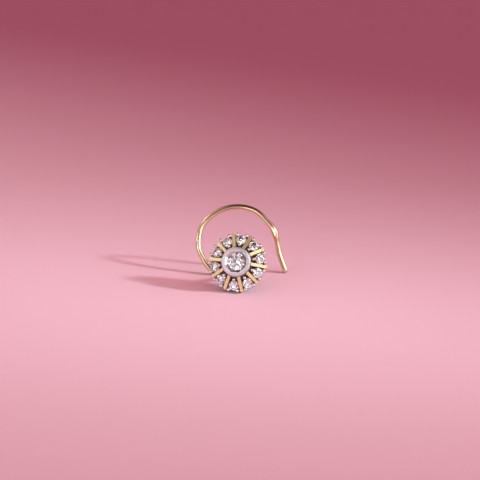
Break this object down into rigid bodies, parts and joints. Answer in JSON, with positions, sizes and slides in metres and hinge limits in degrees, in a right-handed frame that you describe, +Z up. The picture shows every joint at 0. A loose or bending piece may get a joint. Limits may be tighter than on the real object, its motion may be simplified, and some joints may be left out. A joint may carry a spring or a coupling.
{
  "type": "nose pin",
  "caption": "Nose pin: round flower-cluster head with a bezel-set centre stone, ringed by small claw-set stones between gold ribs, on a post that curls into an open screw wire.",
  "frame": {"origin": "on the surface that the pin rests on, under the middle of its bounding box", "axes": "+Z up from the resting surface, -Y towards the viewer whom the head faces, +X to the viewer's right; the loop of wire lies behind the head, towards +Y"},
  "size_m": [0.011, 0.0114, 0.0076],
  "materials": {
    "yellow_gold": "polished yellow gold with fine hairlines",
    "white_gold": "bright rhodium-plated polish",
    "cut_stone": "clear round brilliant cut, polished facets"
  },
  "bodies": {
    "root": {"gallery_wire": "yellow_gold", "setting": "white_gold", "centre_stone": "cut_stone", "side_stone_01": "cut_stone", "side_stone_02": "cut_stone", "side_stone_03": "cut_stone", "side_stone_04": "cut_stone", "side_stone_05": "cut_stone", "side_stone_06": "cut_stone", "side_stone_07": "cut_stone", "side_stone_08": "cut_stone", "side_stone_09": "cut_stone", "side_stone_10": "cut_stone"}
  },
  "joints": []
}
